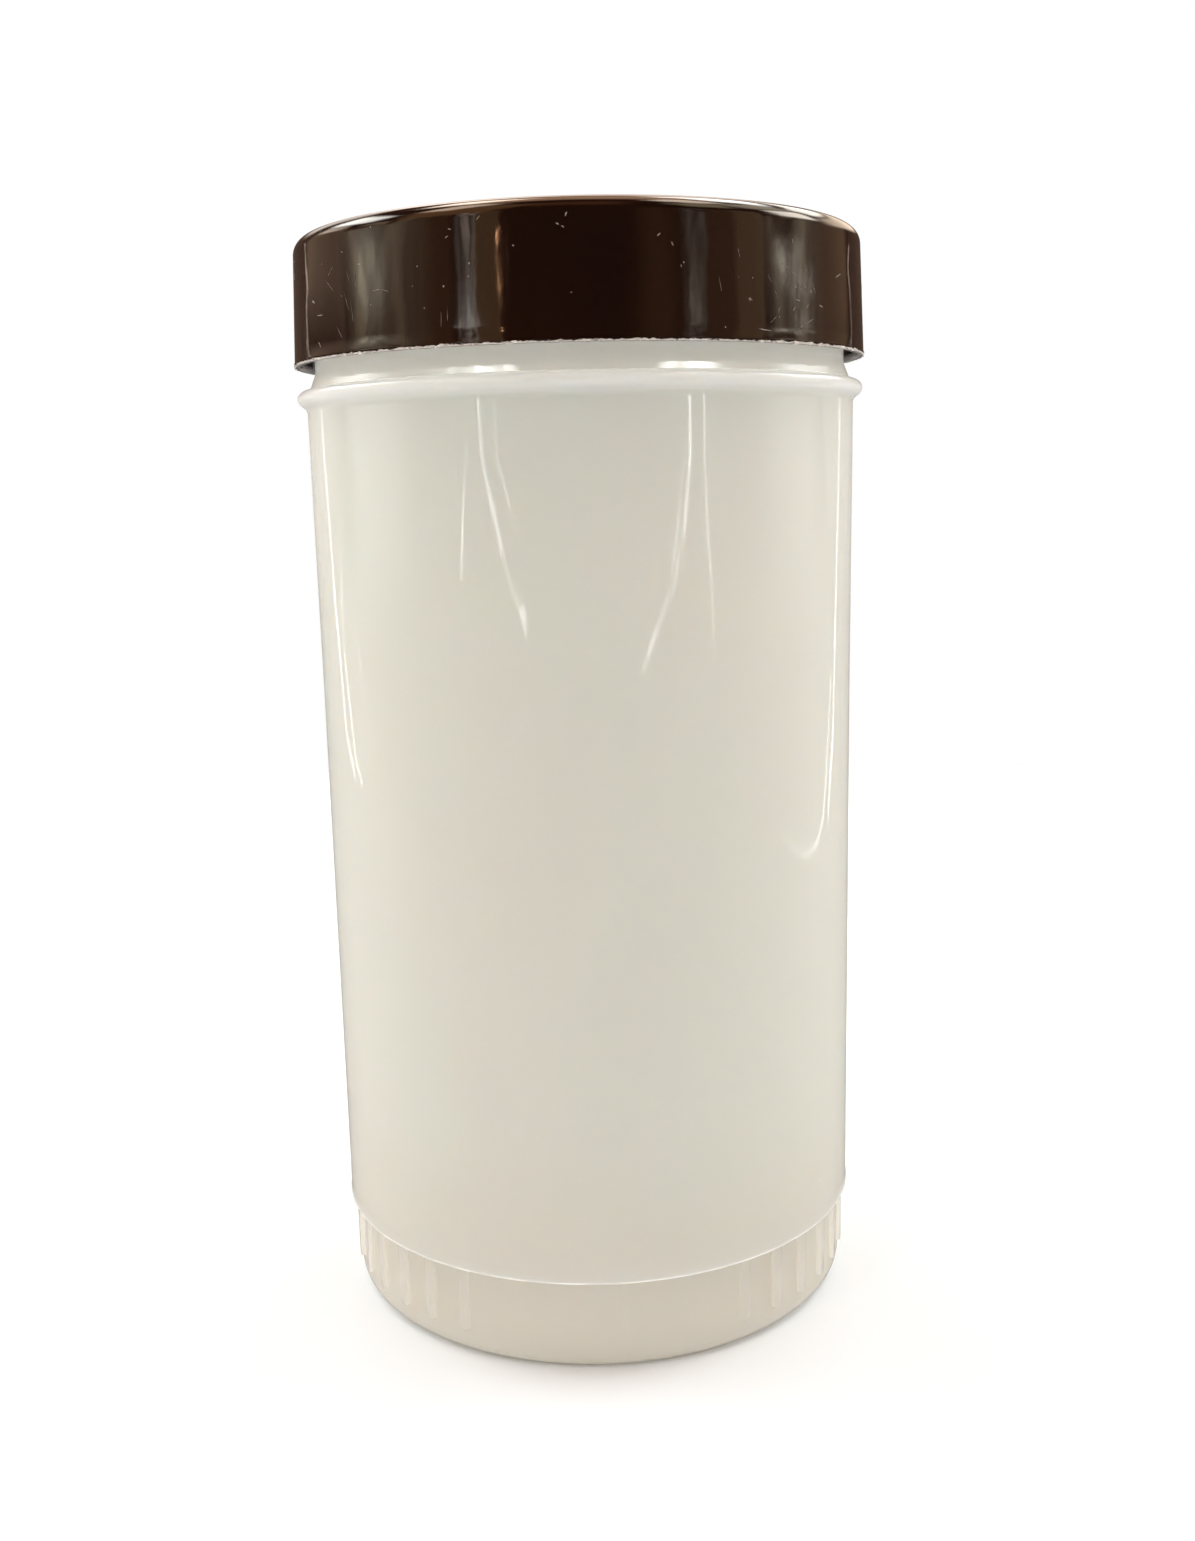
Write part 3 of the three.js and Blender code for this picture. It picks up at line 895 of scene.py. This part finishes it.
def sheen_finish():
    """A glow alone, which fades up the rim."""
    sheen = stage_finish("sheen", (0, 0, 0, 1), 1.0)
    height = sheen.node("ShaderNodeSeparateXYZ", None, {0: sheen.place}, output="Z")
    glow = sheen.blend(sheen.between(height, 0.0, SHEEN_RISE), (0.42, 0.395, 0.37, 1), (0, 0, 0, 1))
    return sheen.surface(Emission_Color=glow)


def disc(name, radius, level, finish):
    bpy.ops.object.select_all(action="DESELECT")
    bpy.ops.mesh.primitive_circle_add(
        vertices=STAGE_SIDES, radius=radius, fill_type="NGON", location=(0, 0, level),
    )
    made = bpy.context.object
    made.name = name
    made.data.materials.append(finish)
    return made


def hide_from(thing, *rays):
    for ray in rays:
        setattr(thing, f"visible_{ray}", False)


def make_stage():
    """A wide pale floor, with a dimmer sheen and its fading rim for mirrored rays, and a white wall that only
    the camera sees."""
    floor = disc("floor", FLOOR_RADIUS, 0, stage_finish("floor", (0.86, 0.9, 0.95, 1), 0.05).material)
    hide_from(floor, "glossy")
    sheen = disc("sheen", SHEEN_RADIUS, -STAGE_GAP, sheen_finish())
    bpy.ops.object.mode_set(mode="EDIT")
    bpy.ops.mesh.select_all(action="SELECT")
    bpy.ops.mesh.region_to_loop()
    bpy.ops.mesh.extrude_region_move(TRANSFORM_OT_translate={"value": (0, 0, SHEEN_RISE)})
    bpy.ops.object.mode_set(mode="OBJECT")
    hide_from(sheen, "camera", "diffuse", "transmission", "shadow", "volume_scatter")
    bpy.ops.object.select_all(action="DESELECT")
    bpy.ops.mesh.primitive_circle_add(vertices=STAGE_SIDES, radius=STAGE_RADIUS, location=(0, 0, STAGE_GAP))
    wall = bpy.context.object
    wall.name = "wall"
    bpy.ops.object.mode_set(mode="EDIT")
    bpy.ops.mesh.select_all(action="SELECT")
    bpy.ops.mesh.extrude_region_move(TRANSFORM_OT_translate={"value": (0, 0, STAGE_HEIGHT)})
    bpy.ops.object.mode_set(mode="OBJECT")
    wall.data.materials.append(stage_finish("wall", (0, 0, 0, 1), 1.0).material)
    hide_from(wall, "diffuse", "glossy", "transmission", "shadow", "volume_scatter")


make_camera()
make_stage()

jar = make_jar()
jar.data.materials.append(ivory_shell())
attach(jar, "root")
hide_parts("jar")

lid = make_lid()
lid.data.materials.append(brown_gloss())
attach(lid, "root")
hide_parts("lid")
make_lights(lid)

draw = random.Random(5)
chipped = bruised_plastic("chipped_plastic", (0.85, 0.81, 0.77, 1), (0.38, 0.32, 0.28, 1))
bruised = bruised_plastic("bruised_plastic", (0.50, 0.45, 0.41, 1), (0.24, 0.20, 0.17, 1))
scratched = bruised_plastic("scratched_plastic", (0.28, 0.24, 0.20, 1), (0.13, 0.105, 0.09, 1))
for wear, finish in (
        (make_burrs(draw), chipped), (make_scuffs(draw), bruised), (make_scratches(draw), scratched)):
    wear.data.materials.append(finish)
    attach(wear, "root")

bpy.context.scene.view_settings.view_transform = "Standard"
